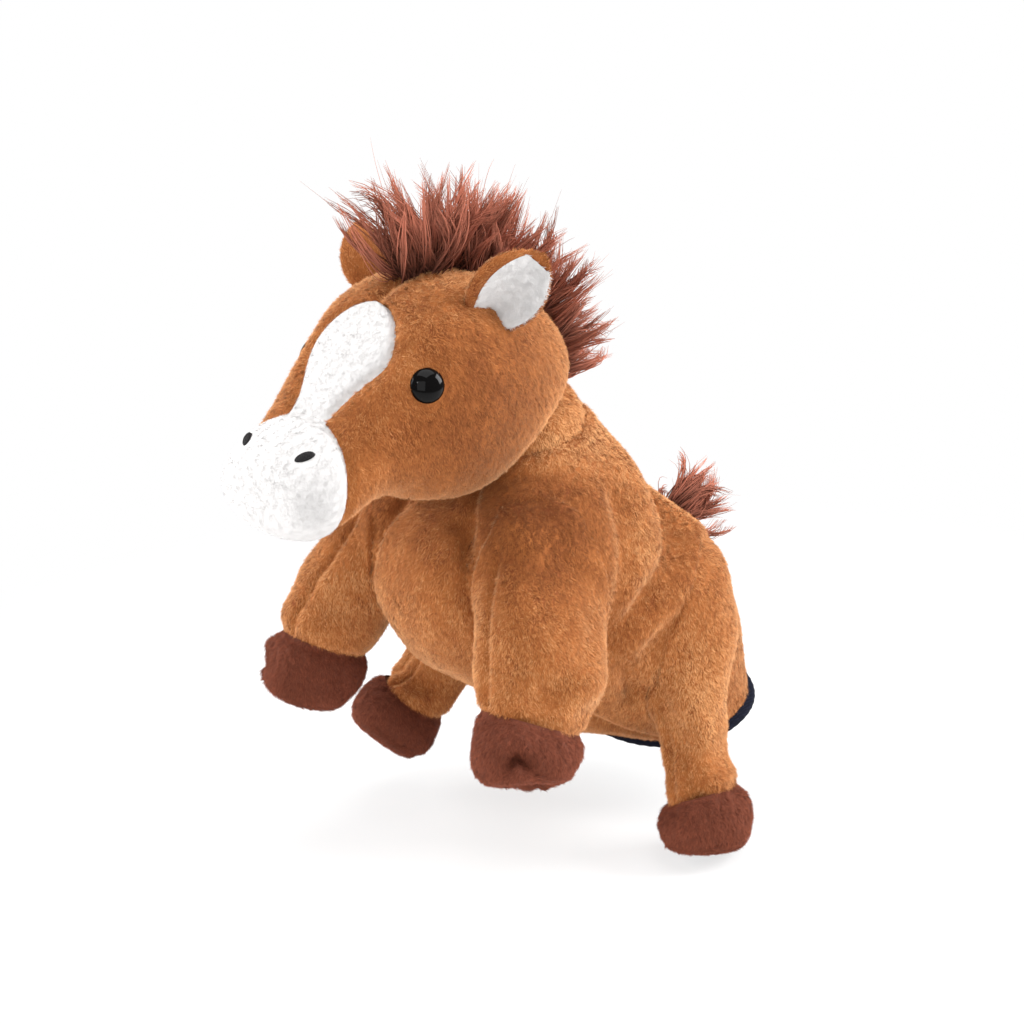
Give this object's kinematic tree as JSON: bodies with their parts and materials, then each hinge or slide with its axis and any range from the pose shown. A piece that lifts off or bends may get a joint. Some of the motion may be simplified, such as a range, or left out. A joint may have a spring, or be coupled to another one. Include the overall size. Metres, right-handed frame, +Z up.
{
  "type": "horse hand puppet",
  "caption": "Plush horse hand puppet: hollow body for the hand, stuffed head with a finger pocket, hollow front legs, stuffed hind legs, mane and tail.",
  "frame": {"origin": "middle of the hand opening at the lower end of the body", "axes": "+Z up, -Y the way the horse faces, +X towards the horse's left side"},
  "size_m": [0.1502, 0.2254, 0.2524],
  "materials": {
    "brown_plush": "short pile plush",
    "white_plush": "short pile plush",
    "hoof_plush": "short pile plush",
    "long_pile": "long pile plush",
    "navy_cloth": "smooth woven cloth",
    "filling": "loose fibre",
    "embroidery_thread": "satin stitch",
    "eye_plastic": "glossy",
    "washer_plastic": "satin"
  },
  "bodies": {
    "torso": {"left_side_panel": "brown_plush", "right_side_panel": "brown_plush", "breast_panel": "brown_plush", "hand_lining": "navy_cloth", "opening_binding": "navy_cloth"},
    "neck": {"neck_sleeve": "brown_plush"},
    "head": {"left_head_panel": "brown_plush", "right_head_panel": "brown_plush", "blaze": "white_plush", "muzzle": "white_plush", "head_stuffing": "filling", "finger_pocket": "navy_cloth", "left_eye": "eye_plastic", "left_eye_washer": "washer_plastic", "right_eye": "eye_plastic", "right_eye_washer": "washer_plastic", "left_nostril": "embroidery_thread", "right_nostril": "embroidery_thread", "mane": "long_pile"},
    "left_ear": {"left_ear_back": "brown_plush", "left_ear_lining": "white_plush"},
    "right_ear": {"right_ear_back": "brown_plush", "right_ear_lining": "white_plush"},
    "left_front_leg": {"left_front_leg": "brown_plush", "left_front_hoof": "hoof_plush", "left_front_sole": "hoof_plush", "left_front_stuffing": "filling"},
    "left_hind_leg": {"left_hind_leg": "brown_plush", "left_hind_hoof": "hoof_plush", "left_hind_sole": "hoof_plush", "left_hind_stuffing": "filling"},
    "right_front_leg": {"right_front_leg": "brown_plush", "right_front_hoof": "hoof_plush", "right_front_sole": "hoof_plush", "right_front_stuffing": "filling"},
    "right_hind_leg": {"right_hind_leg": "brown_plush", "right_hind_hoof": "hoof_plush", "right_hind_sole": "hoof_plush", "right_hind_stuffing": "filling"},
    "tail": {"tail": "long_pile"}
  },
  "joints": [
    {"name": "head_turn", "type": "hinge", "parent": "torso", "child": "neck", "pos_m": [0, -0.08, 0.116], "axis": [0, -0.2588, 0.9659], "range_deg": [-30, 30], "stiffness_Nm_per_rad": 0.3},
    {"name": "head_nod", "type": "hinge", "parent": "neck", "child": "head", "pos_m": [0, -0.08, 0.116], "axis": [-1, 0, 0], "range_deg": [-5, 30], "stiffness_Nm_per_rad": 0.6},
    {"name": "left_ear_fold", "type": "hinge", "parent": "head", "child": "left_ear", "pos_m": [0.02507, -0.11173, 0.17336], "axis": [0.0812, 0.9048, -0.4181], "range_deg": [-15, 30], "stiffness_Nm_per_rad": 0.02},
    {"name": "right_ear_fold", "type": "hinge", "parent": "head", "child": "right_ear", "pos_m": [-0.02507, -0.11173, 0.17336], "axis": [0.0812, -0.9048, 0.4181], "range_deg": [-15, 30], "stiffness_Nm_per_rad": 0.02},
    {"name": "left_front_leg_swing", "type": "hinge", "parent": "torso", "child": "left_front_leg", "pos_m": [0.03397, -0.09775, 0.08734], "axis": [-0.9659, 0.2588, 0], "range_deg": [-3, 40], "stiffness_Nm_per_rad": 0.08},
    {"name": "right_front_leg_swing", "type": "hinge", "parent": "torso", "child": "right_front_leg", "pos_m": [-0.03397, -0.09775, 0.08734], "axis": [-0.9659, -0.2588, 0], "range_deg": [-3, 40], "stiffness_Nm_per_rad": 0.08},
    {"name": "left_hind_leg_swing", "type": "hinge", "parent": "torso", "child": "left_hind_leg", "pos_m": [0.035, -0.028, 0.062], "axis": [-1, 0, 0], "range_deg": [-30, 30], "stiffness_Nm_per_rad": 0.08},
    {"name": "right_hind_leg_swing", "type": "hinge", "parent": "torso", "child": "right_hind_leg", "pos_m": [-0.035, -0.028, 0.062], "axis": [-1, 0, 0], "range_deg": [-60, 0], "stiffness_Nm_per_rad": 0.08},
    {"name": "tail_swing", "type": "hinge", "parent": "torso", "child": "tail", "pos_m": [0, 0.00545, 0.06951], "axis": [-1, 0, 0], "range_deg": [-25, 35], "stiffness_Nm_per_rad": 0.01}
  ]
}
